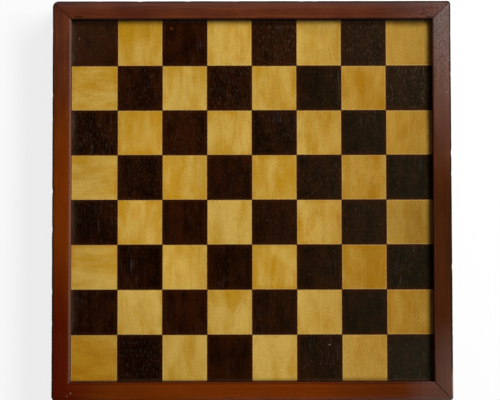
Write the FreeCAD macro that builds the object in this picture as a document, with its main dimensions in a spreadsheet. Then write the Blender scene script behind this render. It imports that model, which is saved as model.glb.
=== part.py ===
import FreeCAD, Part
import math
import os
import Sketcher

# Framed chess board: 64 thick squares on a jointed ground, held in four mitred rails.
# +X is right and +Y is back as the board lies before its reader, +Z is up.
# The origin is the middle of the underside, and lengths are in millimetres.

SIZES = (
    # name, value, what it is
    ("square_side", "50.8", "side of a square"),
    ("edge_allowance", "1.7", "extra width of the outermost squares, on their rail side"),
    ("square_thickness", "3.2", "thickness of a square"),
    ("square_arris", "0.12", "bevel on a square's top edges"),
    ("field_gap", "0.2", "gap between the squares and a rail"),
    ("rail_width", "20.8", "width of a rail seen from above"),
    ("lip_rise", "4.6", "height of the rails above the squares"),
    ("outer_arris", "1.8", "rounding of a rail's outer top edge"),
    ("inner_arris", "1.6", "rounding of a rail's inner top edge"),
    ("foot_arris", "0.8", "bevel on a rail's outer bottom edge"),
    ("front_left_wear", "3.6", "plan rounding of that corner's flat top"),
    ("front_right_wear", "1.8", "plan rounding of that corner's flat top"),
    ("back_right_wear", "2.2", "plan rounding of that corner's flat top"),
    ("back_left_wear", "5", "plan rounding of that corner's flat top"),
    ("rebate_width", "8.8", "depth of the rebate into a rail"),
    ("ground_thickness", "9.5", "thickness of the ground"),
    ("ground_gap", "0.5", "gap between the ground and the rebate"),
    ("batten_width", "38", "width of a batten"),
    ("batten_thickness", "6.4", "thickness of a batten"),
    ("batten_setback", "1.7", "a batten's face above the underside"),
    ("batten_bevel", "2", "bevel along a batten's lower edges"),
    ("batten_gap", "1.5", "gap between a batten's end and the rebate"),
    ("tongue_thickness", "2.4", "thickness of a mitre tongue"),
    ("tongue_gap", "0.1", "gap round a tongue in its groove"),
    ("tongue_cover", "8", "wood left over a tongue's groove"),
    ("tongue_setback", "0.5", "a tongue's foot above the underside"),
    ("batten_screw_shank", "3.5", "shank of a batten screw"),
    ("batten_screw_bite", "6", "a batten screw's hold in the ground"),
    ("ground_screw_shank", "2.8", "shank of a ground screw"),
    ("ground_screw_bite", "4.8", "a ground screw's hold in a rail"),
    ("screw_slot", "0.8", "width of the slot in a screw's head"),
    ("screw_gap", "0.1", "gap round a screw in its hole"),
)

# Counts
SQUARES = 8
GROUND_BOARDS = 3
BATTENS = 2
SIDES = 4

# Shares of half the ground, of the mitre's length across a rail's foot, and of a screw's shank,
# its head's depth and its bite
BATTEN_PLACE_SHARE = 0.53
TONGUE_PLACE_SHARE = 0.67
TONGUE_WIDTH_SHARE = 0.6
HEAD_SHARE = 2
CORE_SHARE = 0.72
SLOT_DEPTH_SHARE = 0.45
POINT_SHARE = 0.5

# Angles
COUNTERSINK_ANGLE = 90
QUARTER_TURN = 90

# Places from above, from the middle of the board outwards
GRID_HALF = f"({SQUARES} * Sizes.square_side / 2)"
FIELD_HALF = f"({GRID_HALF} + Sizes.edge_allowance)"
OPENING_HALF = f"({FIELD_HALF} + Sizes.field_gap)"
FRAME_HALF = f"({OPENING_HALF} + Sizes.rail_width)"
REBATE_HALF = f"({OPENING_HALF} + Sizes.rebate_width)"
GROUND_HALF = f"({REBATE_HALF} - Sizes.ground_gap)"
LEDGE_MIDDLE = f"(({OPENING_HALF} + {GROUND_HALF}) / 2)"
BOARD_HALF = f"({GROUND_HALF} / {GROUND_BOARDS})"
BATTEN_HALF = f"({REBATE_HALF} - Sizes.batten_gap)"
BATTEN_PLACE = f"({BATTEN_PLACE_SHARE} * {GROUND_HALF})"
MITRE_LENGTH = "((Sizes.rail_width - Sizes.rebate_width) * sqrt(2))"

# Heights, from the underside upwards
BATTEN_FOOT = "Sizes.batten_setback"
GROUND_FOOT = f"({BATTEN_FOOT} + Sizes.batten_thickness)"
GROUND_TOP = f"({GROUND_FOOT} + Sizes.ground_thickness)"
FIELD_TOP = f"({GROUND_TOP} + Sizes.square_thickness)"
RAIL_TOP = f"({FIELD_TOP} + Sizes.lip_rise)"
GROOVE_TOP = f"({RAIL_TOP} - Sizes.tongue_cover)"

# Places across the ground, left to right: one batten screw in each outer board and two in the
# middle one, and one ground screw at the middle of each board
BATTEN_SCREW_COLUMNS = [f"({place} * {BOARD_HALF})" for place in (-1.5, -0.5, 0.5, 1.5)]
GROUND_SCREW_COLUMNS = [f"(-2 * {BOARD_HALF})", "0", f"(2 * {BOARD_HALF})"]


def make_sheet(document):
    sheet = document.addObject("Spreadsheet::Sheet", "Sizes")
    for row, (name, value, meaning) in enumerate(SIZES, start=1):
        sheet.set(f"A{row}", meaning)
        sheet.set(f"B{row}", value)
        sheet.setAlias(f"B{row}", name)
    document.recompute()


def make_body(document, label):
    body = document.addObject("PartDesign::Body", label)
    body.Label = label
    return body


def origin_feature(body, role):
    return next(item for item in body.Origin.OriginFeatures if item.Role == role)


def make_sketch(body, name, height="0"):
    """A sketch seen from above, at a height."""
    sketch = body.newObject("Sketcher::SketchObject", name)
    sketch.AttachmentSupport = [(origin_feature(body, "XY_Plane"), "")]
    sketch.MapMode = "FlatFace"
    sketch.setExpression("AttachmentOffset.Base.z", height)
    return sketch


def worked_out(sketch, expression):
    return float(sketch.evalExpression(expression))


def hold_point(sketch, edge, point, place):
    """Ties one point of an edge to a place given by two expressions."""
    for kind, expression, axis in (("DistanceX", place[0], -2), ("DistanceY", place[1], -1)):
        if expression == "0":
            sketch.addConstraint(Sketcher.Constraint("PointOnObject", edge, point, axis))
        else:
            value = worked_out(sketch, expression)
            number = sketch.addConstraint(Sketcher.Constraint(kind, -1, 1, edge, point, value))
            sketch.setExpression(f"Constraints[{number}]", expression)


def draw_outline(sketch, corners, arcs=None):
    """Closes an outline through the corners; arcs gives an edge its middle and radius."""
    arcs = arcs or {}
    points = [FreeCAD.Vector(worked_out(sketch, x), worked_out(sketch, y), 0) for x, y in corners]
    first = sketch.GeometryCount
    for edge, start in enumerate(points):
        end = points[(edge + 1) % len(points)]
        if edge in arcs:
            middle = FreeCAD.Vector(*(worked_out(sketch, value) for value in arcs[edge][:2]), 0)
            circle = Part.Circle(middle, FreeCAD.Vector(0, 0, 1), worked_out(sketch, arcs[edge][2]))
            angles = [math.atan2(point.y - middle.y, point.x - middle.x) for point in (start, end)]
            sketch.addGeometry(Part.ArcOfCircle(circle, *angles), False)
        else:
            sketch.addGeometry(Part.LineSegment(start, end), False)
    for edge in range(len(points)):
        following = first + (edge + 1) % len(points)
        sketch.addConstraint(Sketcher.Constraint("Coincident", first + edge, 2, following, 1))
    for edge, place in enumerate(corners):
        hold_point(sketch, first + edge, 1, place)
    for edge, (_, _, radius) in arcs.items():
        value = worked_out(sketch, radius)
        number = sketch.addConstraint(Sketcher.Constraint("Radius", first + edge, value))
        sketch.setExpression(f"Constraints[{number}]", radius)


def draw_rectangle(sketch, left, front, right, back):
    draw_outline(sketch, [(left, front), (right, front), (right, back), (left, back)])


def draw_circles(sketch, places, diameter):
    for place in places:
        middle = FreeCAD.Vector(worked_out(sketch, place[0]), worked_out(sketch, place[1]), 0)
        circle = Part.Circle(middle, FreeCAD.Vector(0, 0, 1), worked_out(sketch, f"{diameter} / 2"))
        edge = sketch.addGeometry(circle, False)
        hold_point(sketch, edge, 3, place)
        number = sketch.addConstraint(Sketcher.Constraint("Diameter", edge, worked_out(sketch, diameter)))
        sketch.setExpression(f"Constraints[{number}]", diameter)


def pad(body, name, sketch, length):
    feature = body.newObject("PartDesign::Pad", name)
    feature.Profile = sketch
    feature.setExpression("Length", length)
    body.Document.recompute()
    return feature


def must_cut(feature, before):
    if not feature.Shape.Volume < before.Volume:
        raise RuntimeError(f"{feature.Label} cuts nothing")


def pocket(body, name, sketch, depth):
    """Cuts downwards from the sketch."""
    before = body.Shape
    feature = body.newObject("PartDesign::Pocket", name)
    feature.Profile = sketch
    feature.setExpression("Length", depth)
    body.Document.recompute()
    must_cut(feature, before)


def sunk_holes(body, screw, places, foot):
    """Bores up through the body at the places, sunk for the screw's head."""
    before = body.Shape
    plan = make_sketch(body, "SunkHolePlan", foot)
    draw_circles(plan, places, f"Sizes.{screw}_shank")
    feature = body.newObject("PartDesign::Hole", "SunkHoles")
    feature.Profile = plan
    body.Document.recompute()
    feature.Reversed = True
    feature.DepthType = "ThroughAll"
    feature.HoleCutType = "Countersink"
    feature.HoleCutCustomValues = True
    feature.HoleCutCountersinkAngle = COUNTERSINK_ANGLE
    feature.setExpression("Diameter", f"Sizes.{screw}_shank + 2 * Sizes.screw_gap")
    feature.setExpression("HoleCutDiameter", f"{HEAD_SHARE} * Sizes.{screw}_shank + 2 * Sizes.screw_gap")
    body.Document.recompute()
    must_cut(feature, before)


def pilot_holes(body, screw, places, foot):
    """Blind holes up into the body for the screw's threaded end."""
    depth = f"(Sizes.{screw}_bite + Sizes.screw_gap)"
    plan = make_sketch(body, "PilotPlan", f"({foot} + {depth})")
    draw_circles(plan, places, f"({CORE_SHARE} * Sizes.{screw}_shank + 2 * Sizes.screw_gap)")
    pocket(body, "Pilots", plan, depth)


def dress_edges(body, kind, name, wanted, size):
    """Makes a Fillet or Chamfer on each edge of the body for which wanted(edge) is true."""
    base = body.Tip
    edges = [f"Edge{number}" for number, edge in enumerate(base.Shape.Edges, start=1) if wanted(edge)]
    if not edges:
        raise RuntimeError(f"{name} finds no edge on {body.Label}")
    feature = body.newObject(f"PartDesign::{kind}", name)
    feature.Base = (base, edges)
    feature.setExpression("Radius" if kind == "Fillet" else "Size", size)
    body.Document.recompute()


def repeat_along(body, name, role, length, count):
    """Repeats the whole body evenly over a length along one of its axes."""
    feature = body.newObject("PartDesign::LinearPattern", name)
    feature.Direction = (origin_feature(body, role), [""])
    feature.TransformMode = "Whole shape"
    feature.Occurrences = count
    feature.setExpression("Length", length)
    body.Tip = feature
    body.Document.recompute()


def turn_body(body, quarter_turns):
    turn = FreeCAD.Rotation(FreeCAD.Vector(0, 0, 1), QUARTER_TURN * quarter_turns)
    body.Placement = FreeCAD.Placement(FreeCAD.Vector(0, 0, 0), turn)


def lies_at(edge, axis, place):
    """True where the whole edge has this place along the axis X, Y or Z."""
    bounds = edge.BoundBox
    ends = (getattr(bounds, f"{axis}Min"), getattr(bounds, f"{axis}Max"))
    return all(abs(end - place) < Part.Precision.approximation() for end in ends)


def grid_line(number):
    """A line between squares, counted from the left or the front, the outermost at the rails."""
    if number in (0, SQUARES):
        return f"(-{FIELD_HALF})" if number == 0 else FIELD_HALF
    return f"({number} * Sizes.square_side - {GRID_HALF})"


def make_squares(document, wood, row):
    """Four squares of one wood in one row, every other place along it."""
    body = make_body(document, f"{wood}_squares_row_{row}")
    first_place = (row + (wood == "light")) % 2
    plan = make_sketch(body, "SquaresPlan", GROUND_TOP)
    for place in range(first_place, SQUARES, 2):
        draw_rectangle(plan, grid_line(place), grid_line(row - 1), grid_line(place + 1), grid_line(row))
    top = pad(body, "Squares", plan, "Sizes.square_thickness").Shape.BoundBox.ZMax
    dress_edges(body, "Chamfer", "Arris", lambda edge: lies_at(edge, "Z", top), "Sizes.square_arris")
    return body


def draw_rail(sketch, left_radius, right_radius):
    """A front rail from above: mitred ends, and its half of each corner's round."""
    left = f"({left_radius} - {FRAME_HALF})"
    right = f"({FRAME_HALF} - {right_radius})"
    left_mitre = f"({left_radius} * (1 - sqrt(0.5)) - {FRAME_HALF})"
    right_mitre = f"({right_radius} * (1 - sqrt(0.5)) - {FRAME_HALF})"
    corners = [
        (left_mitre, left_mitre),
        (left, f"(-{FRAME_HALF})"),
        (right, f"(-{FRAME_HALF})"),
        (f"(-{right_mitre})", right_mitre),
        (OPENING_HALF, f"(-{OPENING_HALF})"),
        (f"(-{OPENING_HALF})", f"(-{OPENING_HALF})"),
    ]
    arcs = {0: (left, left, left_radius), 2: (right, f"(-{right})", right_radius)}
    draw_outline(sketch, corners, arcs)


def draw_tongue(sketch, end, gap):
    """A tongue from above at the left (-1) or right (1) front corner, square to the mitre."""
    corners = []
    for inner, side in ((-1, -1), (-1, 1), (1, 1), (1, -1)):
        inwards = f"({TONGUE_PLACE_SHARE} * {MITRE_LENGTH} + {inner} * (Sizes.tongue_thickness / 2 + {gap}))"
        sideways = f"({side} * ({TONGUE_WIDTH_SHARE} * {MITRE_LENGTH} / 2 + {gap}))"
        corners.append((
            f"({end} * ({FRAME_HALF} - ({inwards} + {sideways}) * sqrt(0.5)))",
            f"(({inwards} - {sideways}) * sqrt(0.5) - {FRAME_HALF})",
        ))
    draw_outline(sketch, corners)


def make_rail(document, side, quarter_turns, left_corner, right_corner):
    """One rail, drawn at the front and turned to its side of the board."""
    body = make_body(document, f"rail_{side}")
    plan = make_sketch(body, "RailPlan")
    left_radius = f"(Sizes.outer_arris + Sizes.{left_corner}_wear)"
    right_radius = f"(Sizes.outer_arris + Sizes.{right_corner}_wear)"
    draw_rail(plan, left_radius, right_radius)
    box = pad(body, "Stick", plan, RAIL_TOP).Shape.BoundBox

    def is_outer(edge):
        return isinstance(edge.Curve, Part.Circle) or lies_at(edge, "Y", box.YMin)

    def outer_top(edge):
        return is_outer(edge) and lies_at(edge, "Z", box.ZMax)

    def outer_foot(edge):
        return is_outer(edge) and lies_at(edge, "Z", box.ZMin)

    def inner_top(edge):
        return lies_at(edge, "Y", box.YMax) and lies_at(edge, "Z", box.ZMax)

    dress_edges(body, "Fillet", "OuterArris", outer_top, "Sizes.outer_arris")
    dress_edges(body, "Fillet", "InnerArris", inner_top, "Sizes.inner_arris")
    dress_edges(body, "Chamfer", "FootArris", outer_foot, "Sizes.foot_arris")

    rebate = make_sketch(body, "RebatePlan", GROUND_TOP)
    draw_rectangle(rebate, f"(-{FRAME_HALF})", f"(-{REBATE_HALF})", FRAME_HALF, f"(-{FIELD_HALF})")
    pocket(body, "Rebate", rebate, GROUND_TOP)

    grooves = make_sketch(body, "GroovePlan", GROOVE_TOP)
    draw_tongue(grooves, -1, "Sizes.tongue_gap")
    draw_tongue(grooves, 1, "Sizes.tongue_gap")
    pocket(body, "TongueGrooves", grooves, GROOVE_TOP)

    places = [(column, f"(-{LEDGE_MIDDLE})") for column in GROUND_SCREW_COLUMNS]
    pilot_holes(body, "ground_screw", places, GROUND_TOP)

    turn_body(body, quarter_turns)
    return body


def make_mitre_tongue(document, corner, quarter_turns):
    """A slip across a mitre, drawn at the front left corner and turned to its own."""
    body = make_body(document, f"mitre_tongue_{corner}")
    plan = make_sketch(body, "TonguePlan", "Sizes.tongue_setback")
    draw_tongue(plan, -1, "0")
    pad(body, "Tongue", plan, f"{GROOVE_TOP} - Sizes.tongue_gap - Sizes.tongue_setback")
    turn_body(body, quarter_turns)
    return body


def make_ground_board(document, name, number):
    """One of the three boards, with holes for the screws at its edge and pilots for the battens'."""
    body = make_body(document, f"ground_board_{name}")
    left = f"({2 * number - GROUND_BOARDS} * {BOARD_HALF})"
    plan = make_sketch(body, "BoardPlan", GROUND_FOOT)
    draw_rectangle(plan, left, f"(-{GROUND_HALF})", f"({left} + 2 * {BOARD_HALF})", GROUND_HALF)
    pad(body, "Board", plan, "Sizes.ground_thickness")

    places = [(GROUND_SCREW_COLUMNS[number], f"({side} * {LEDGE_MIDDLE})") for side in (-1, 1)]
    if name != "middle":
        outer_line = f"({number - 1} * {LEDGE_MIDDLE})"
        places += [(outer_line, column) for column in GROUND_SCREW_COLUMNS]
    sunk_holes(body, "ground_screw", places, GROUND_FOOT)

    columns = (BATTEN_SCREW_COLUMNS[:1], BATTEN_SCREW_COLUMNS[1:3], BATTEN_SCREW_COLUMNS[3:])[number]
    places = [(column, f"({side} * {BATTEN_PLACE})") for column in columns for side in (-1, 1)]
    pilot_holes(body, "batten_screw", places, GROUND_FOOT)
    return body


def make_cross_batten(document, name, side):
    body = make_body(document, f"cross_batten_{name}")
    plan = make_sketch(body, "BattenPlan", BATTEN_FOOT)
    middle = f"({side} * {BATTEN_PLACE})"
    front = f"({middle} - Sizes.batten_width / 2)"
    back = f"({middle} + Sizes.batten_width / 2)"
    draw_rectangle(plan, f"(-{BATTEN_HALF})", front, BATTEN_HALF, back)
    foot = pad(body, "Batten", plan, "Sizes.batten_thickness").Shape.BoundBox.ZMin
    dress_edges(body, "Chamfer", "Bevel", lambda edge: lies_at(edge, "Z", foot), "Sizes.batten_bevel")
    sunk_holes(body, "batten_screw", [(column, middle) for column in BATTEN_SCREW_COLUMNS], BATTEN_FOOT)
    return body


def make_screw(body, screw, place, foot, grip):
    """A slotted countersunk screw, head down; grip is what its shank passes through."""
    shank = f"(Sizes.{screw}_shank / 2)"
    head = f"({HEAD_SHARE} * {shank})"
    core = f"({CORE_SHARE} * {shank})"
    head_depth = f"({head} - {shank})"
    bite = f"Sizes.{screw}_bite"
    profile = body.newObject("Sketcher::SketchObject", "ScrewProfile")
    profile.AttachmentSupport = [(origin_feature(body, "XZ_Plane"), "")]
    profile.MapMode = "FlatFace"
    profile.setExpression("AttachmentOffset.Base.x", place[0])
    profile.setExpression("AttachmentOffset.Base.y", foot)
    profile.setExpression("AttachmentOffset.Base.z", f"-{place[1]}")
    draw_outline(profile, [
        ("0", "0"),
        (head, "0"),
        (shank, head_depth),
        (shank, f"({grip} - Sizes.screw_gap)"),
        (core, f"({grip} - Sizes.screw_gap)"),
        (core, f"({grip} + (1 - {POINT_SHARE}) * {bite})"),
        ("0", f"({grip} + {bite})"),
    ])
    turned = body.newObject("PartDesign::Revolution", "Screw")
    turned.Profile = profile
    turned.ReferenceAxis = (profile, ["V_Axis"])
    body.Document.recompute()

    slot_depth = f"({SLOT_DEPTH_SHARE} * {head_depth})"
    slot = make_sketch(body, "SlotPlan", f"({foot} + {slot_depth})")
    draw_rectangle(
        slot,
        f"({place[0]} - {head})",
        f"({place[1]} - Sizes.screw_slot / 2)",
        f"({place[0]} + {head})",
        f"({place[1]} + Sizes.screw_slot / 2)",
    )
    pocket(body, "Slot", slot, slot_depth)


def make_batten_screws(document):
    body = make_body(document, "batten_screws")
    place = (BATTEN_SCREW_COLUMNS[0], f"(-{BATTEN_PLACE})")
    make_screw(body, "batten_screw", place, BATTEN_FOOT, "Sizes.batten_thickness")
    count = len(BATTEN_SCREW_COLUMNS)
    repeat_along(body, "AlongBatten", "X_Axis", f"{count - 1} * {BOARD_HALF}", count)
    repeat_along(body, "OtherBatten", "Y_Axis", f"2 * {BATTEN_PLACE}", BATTENS)
    return body


def make_ground_screws(document):
    body = make_body(document, "ground_screws")
    place = (GROUND_SCREW_COLUMNS[0], f"(-{LEDGE_MIDDLE})")
    make_screw(body, "ground_screw", place, GROUND_FOOT, "Sizes.ground_thickness")
    count = len(GROUND_SCREW_COLUMNS)
    repeat_along(body, "AlongSide", "X_Axis", f"{count - 1} * 2 * {BOARD_HALF}", count)
    round_board = body.newObject("PartDesign::PolarPattern", "RoundBoard")
    round_board.Axis = (origin_feature(body, "Z_Axis"), [""])
    round_board.TransformMode = "Whole shape"
    round_board.Occurrences = SIDES
    body.Tip = round_board
    document.recompute()
    return body


def make_parts(document):
    parts = []
    for row in range(1, SQUARES + 1):
        parts += [make_squares(document, wood, row) for wood in ("light", "dark")]
    corners = ("front_left", "front_right", "back_right", "back_left")
    for turns, side in enumerate(("front", "right", "back", "left")):
        following = corners[(turns + 1) % SIDES]
        parts.append(make_rail(document, side, turns, corners[turns], following))
    for turns, corner in enumerate(corners):
        parts.append(make_mitre_tongue(document, corner, turns))
    for number, name in enumerate(("left", "middle", "right")):
        parts.append(make_ground_board(document, name, number))
    for side, name in ((-1, "front"), (1, "back")):
        parts.append(make_cross_batten(document, name, side))
    parts.append(make_batten_screws(document))
    parts.append(make_ground_screws(document))
    return parts


def check(document, parts):
    for item in document.Objects:
        if {"Invalid", "Error"} & set(item.State):
            raise RuntimeError(f"{item.Label} is {item.State}")
    for part in parts:
        if part.Shape.isNull() or not part.Shape.isValid():
            raise RuntimeError(f"{part.Label} has no valid shape")


def write(parts):
    os.makedirs("parts", exist_ok=True)
    for part in parts:
        part.Shape.exportStep(f"parts/{part.Label}.step")
        print(part.Label, len(part.Shape.Solids), round(part.Shape.Volume, 1))


def main():
    document = FreeCAD.newDocument("ChessBoard")
    make_sheet(document)
    parts = make_parts(document)
    document.recompute()
    check(document, parts)
    write(parts)


main()
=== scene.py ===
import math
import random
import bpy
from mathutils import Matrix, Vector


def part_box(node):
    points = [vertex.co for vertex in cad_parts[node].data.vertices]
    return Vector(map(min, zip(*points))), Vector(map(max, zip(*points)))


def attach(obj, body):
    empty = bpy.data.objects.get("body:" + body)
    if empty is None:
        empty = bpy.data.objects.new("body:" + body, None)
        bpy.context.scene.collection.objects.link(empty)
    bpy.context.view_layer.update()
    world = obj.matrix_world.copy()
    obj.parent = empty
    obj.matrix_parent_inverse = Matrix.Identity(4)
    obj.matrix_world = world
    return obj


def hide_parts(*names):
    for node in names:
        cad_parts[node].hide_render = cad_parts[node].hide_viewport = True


bl_info = {
    "name": "Framed Chess Board",
    "version": (1, 0, 0),
    "blender": (4, 5, 0),
    "location": "3D View > Sidebar > Chess Board",
    "description": "Wood, polish, wear and a plain stage for a framed chess board",
    "category": "Object",
}

import bpy
from bpy.props import FloatProperty, FloatVectorProperty, PointerProperty
from mathutils import Euler, Vector

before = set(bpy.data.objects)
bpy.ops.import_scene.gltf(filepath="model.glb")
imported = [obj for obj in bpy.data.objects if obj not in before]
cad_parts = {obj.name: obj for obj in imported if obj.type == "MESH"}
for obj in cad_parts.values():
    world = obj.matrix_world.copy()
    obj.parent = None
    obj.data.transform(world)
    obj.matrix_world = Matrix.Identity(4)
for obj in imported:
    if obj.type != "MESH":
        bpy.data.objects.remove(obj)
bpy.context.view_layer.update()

# Sizes are in metres and are read from the frame.
# +X is right and +Y is back as the board lies before its reader, +Z is up.
SQUARES = 8
SIDES = ("front", "right", "back", "left")
CORNERS = ("front_left", "front_right", "back_right", "back_left")

# The field's squares are alike, but the outermost are wider on their rail side
corner_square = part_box("light_squares_row_1")
FIELD_HALF = -corner_square[0].x
FIELD_TOP = corner_square[1].z
SQUARE_SIDE = -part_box("dark_squares_row_1")[0].x / (SQUARES / 2 - 1)
GRID_HALF = SQUARE_SIDE * SQUARES / 2
OPENING_HALF = -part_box("rail_front")[1].y
FRAME_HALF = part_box("rail_right")[1].x
RAIL_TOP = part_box("rail_right")[1].z

# Materials work in millimetres, measured from the middle of the board's underside
TO_MM = 1000.0
SQUARE = SQUARE_SIDE * TO_MM
GRID_EDGE = GRID_HALF * TO_MM
FIELD_EDGE = FIELD_HALF * TO_MM
FRAME_EDGE = FRAME_HALF * TO_MM

# How far apart the squares' patterns, and the rails', are drawn from the same noise
SQUARE_SEEDS = 400.0
RAIL_SEEDS = 50.0

# Broad tones of the light squares: place, half size, deeper polish and brighter wood. The darkest, at
# the back right, is painted shadow of the back rail.
LIGHT_TONES = (
    ((-115, -20), (70, 160), 0.0, 0.14),
    ((0, -152), (60, 55), -0.55, 0.0),
    ((125, -180), (60, 50), -0.5, 0.0),
    ((-70, -76), (170, 36), 0.3, 0.05),
    ((178, -25), (50, 42), 0.0, -0.16),
    ((130, 180), (120, 42), -0.35, -0.06),
    ((50, 110), (70, 80), 0.0, -0.07),
    # Painted shadow of the back rail at the back right corner
    ((180, 206), (42, 12), 0.0, -0.4),
    ((-127, 200), (34, 22), 0.5, -0.05),
    ((77, 200), (34, 18), 0.1, -0.12),
)

# Broad tones of the dark squares: place, half size and browner wood
DARK_TONES = (
    ((-178, 178), (50, 50), 0.5),
    ((-127, -178), (50, 50), -0.6),
)

# One scratch on a light square: its middle, its half length and half width, and how far its
# right end is turned towards the reader
SCRATCH_AT = (-140.4, -36.8)
SCRATCH_SIZE = (9.4, 0.7)
SCRATCH_SLANT = math.radians(56.9)

# Small marks on the dark squares: place, half size, strength and colour
SPECKS = (
    ((-196.1, 184.1), (0.7, 0.9), 1.0, (150, 150, 140)),
    ((87.2, -163.5), (0.8, 0.6), 1.0, (170, 160, 150)),
    ((-91.3, 195.3), (2.4, 2.0), 0.7, (104, 48, 8)),
)

# Small marks on the rails, in the same order; the last is a painted highlight along the right rail's
# outer edge at the front
RAIL_MARKS_AND_HIGHLIGHT = (
    ((220.4, 122.4), (2.4, 1.4), 0.45, (150, 130, 122)),
    ((220.1, 123.3), (1.7, 1.0), 0.9, (24, 12, 8)),
    ((-208.3, -220.3), (0.9, 0.8), 0.8, (150, 120, 100)),
    ((-203.9, -217.0), (1.1, 0.9), 0.8, (160, 130, 110)),
    ((2.1, 206.6), (3.6, 0.9), 0.6, (150, 52, 24)),
    # Painted highlight along the right rail's outer edge at the front
    ((225.4, -208.0), (2.2, 22.0), 0.7, (122, 106, 102)),
)

# How much painted shade, in the grime colour, darkens each rail's outer arris
OUTER_ARRIS_SHADE = {"front": 0.3, "right": 0.96, "back": 0.8, "left": 0.6}

# Cuts that give the sharp rails points to wear: some across each end, and some along the rail
# at shares of the way from its outer edge to its inner edge. The edges that are still long
# after these cuts are divided.
CORNER_CUTS = 10
FIRST_CORNER_CUT = 0.96 * OPENING_HALF
LENGTHWISE_CUTS = (0.12, 0.3, 0.5, 0.7, 0.8)
LONG_EDGE = 1.9 * OPENING_HALF

# Wear of the rails: each has so many dents, up to a share of half the opening from its middle,
# and its flat top wears at least this share of what its arrises do
WEAR_SEED = 7
DENTS = 7
DENTS_REACH = 0.97
DENT_RADIUS = 0.003
FLAT_WEAR = 0.1

# Distances within which points are merged and within which they lie on a mitre, and angles
# up to which faces are joined into one and up to which an edge is smooth
MERGED = 0.00001
ON_MITRE = 0.00005
FLAT_ANGLE = math.radians(0.5)
SMOOTH_ANGLE = math.radians(32)

WHITE = (1.0, 1.0, 1.0, 1.0)

# The sensor's width in millimetres, and the nearest that the camera sees
SENSOR_WIDTH = 36.0
NEAREST_SEEN = 0.01


def paint(red, green, blue):
    """A colour as a picture shows it, 0 to 255, turned into the linear values that nodes take."""
    shares = (value / 255 for value in (red, green, blue))
    return tuple(s / 12.92 if s <= 0.04045 else ((s + 0.055) / 1.055) ** 2.4 for s in shares)


def opaque(colour):
    return (*colour, 1.0)


class Term:
    """One socket in a node tree. Arithmetic on it adds Math nodes."""

    def __init__(self, graph, socket):
        self.graph = graph
        self.socket = socket

    def math(self, operation, *values):
        return self.graph.add("ShaderNodeMath", {"operation": operation}, values)

    def __add__(self, other):
        return self.math("ADD", self, other)

    def __radd__(self, other):
        return self.math("ADD", other, self)

    def __sub__(self, other):
        return self.math("SUBTRACT", self, other)

    def __rsub__(self, other):
        return self.math("SUBTRACT", other, self)

    def __mul__(self, other):
        return self.math("MULTIPLY", self, other)

    def __rmul__(self, other):
        return self.math("MULTIPLY", other, self)

    def __truediv__(self, other):
        return self.math("DIVIDE", self, other)

    def __rtruediv__(self, other):
        return self.math("DIVIDE", other, self)

    def __gt__(self, other):
        return self.math("GREATER_THAN", self, other)

    def __lt__(self, other):
        return self.math("LESS_THAN", self, other)

    def __abs__(self):
        return self.math("ABSOLUTE", self)

    def least(self, other):
        return self.math("MINIMUM", self, other)

    def most(self, other):
        return self.math("MAXIMUM", self, other)

    def output(self, name):
        """Another output of the same node."""
        return Term(self.graph, self.socket.node.outputs[name])


class Graph:
    """A node tree that is built from expressions."""

    def __init__(self, tree):
        self.tree = tree
        tree.nodes.clear()

    def add(self, kind, settings=None, inputs=(), output=0):
        """One node: its settings first, then its sockets' values or links."""
        node = self.tree.nodes.new(kind)
        for name, value in (settings or {}).items():
            setattr(node, name, value)
        for key, value in inputs.items() if isinstance(inputs, dict) else enumerate(inputs):
            found = [s for number, s in enumerate(node.inputs) if key in (number, s.identifier)]
            if isinstance(value, Term):
                self.tree.links.new(value.socket, found[0])
            else:
                found[0].default_value = value
        return Term(self, node.outputs[output]) if node.outputs else None

    def mix(self, factor, first, second, blend="MIX"):
        sockets = {"Factor_Float": factor, "A_Color": first, "B_Color": second}
        for name in ("A_Color", "B_Color"):
            if not isinstance(sockets[name], Term):
                sockets[name] = opaque(sockets[name])
        settings = {"data_type": "RGBA", "blend_type": blend}
        return self.add("ShaderNodeMix", settings, sockets, 2)

    def vector(self, operation, *values):
        return self.add("ShaderNodeVectorMath", {"operation": operation}, values)

    def scaled(self, vector, factor):
        """A vector or a colour times a number."""
        inputs = {"Vector": vector, "Scale": factor}
        return self.add("ShaderNodeVectorMath", {"operation": "SCALE"}, inputs)

    def joined(self, x, y, z):
        return self.add("ShaderNodeCombineXYZ", None, (x, y, z))

    def split(self, vector):
        x = self.add("ShaderNodeSeparateXYZ", None, (vector,), "X")
        return x, x.output("Y"), x.output("Z")

    def noise(self, place, scale, detail=2.0, distortion=0.0):
        """Soft noise about zero, mostly within half a unit of it."""
        inputs = {"Vector": place, "Scale": scale, "Detail": detail, "Distortion": distortion}
        return self.add("ShaderNodeTexNoise", None, inputs) * 2.0 - 1.0

    def ramp(self, value, start, end):
        """Climbs smoothly from 0 at start to 1 at end."""
        inputs = {"Value": value, "From Min": start, "From Max": end}
        return self.add("ShaderNodeMapRange", {"interpolation_type": "SMOOTHSTEP"}, inputs)

    def oval(self, x, y, at, size):
        """1 at a place, fading to 0 over an ellipse of that half size."""
        across = (x - at[0]) / size[0]
        along = (y - at[1]) / size[1]
        return self.ramp(across * across + along * along, 1.0, 0.0)

    def seen(self):
        """1 for what the camera sees itself, in gloss or through glass, and 0 for plain light."""
        rays = self.add("ShaderNodeLightPath", output="Is Camera Ray")
        return rays.most(rays.output("Is Glossy Ray")).most(rays.output("Is Transmission Ray"))


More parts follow.
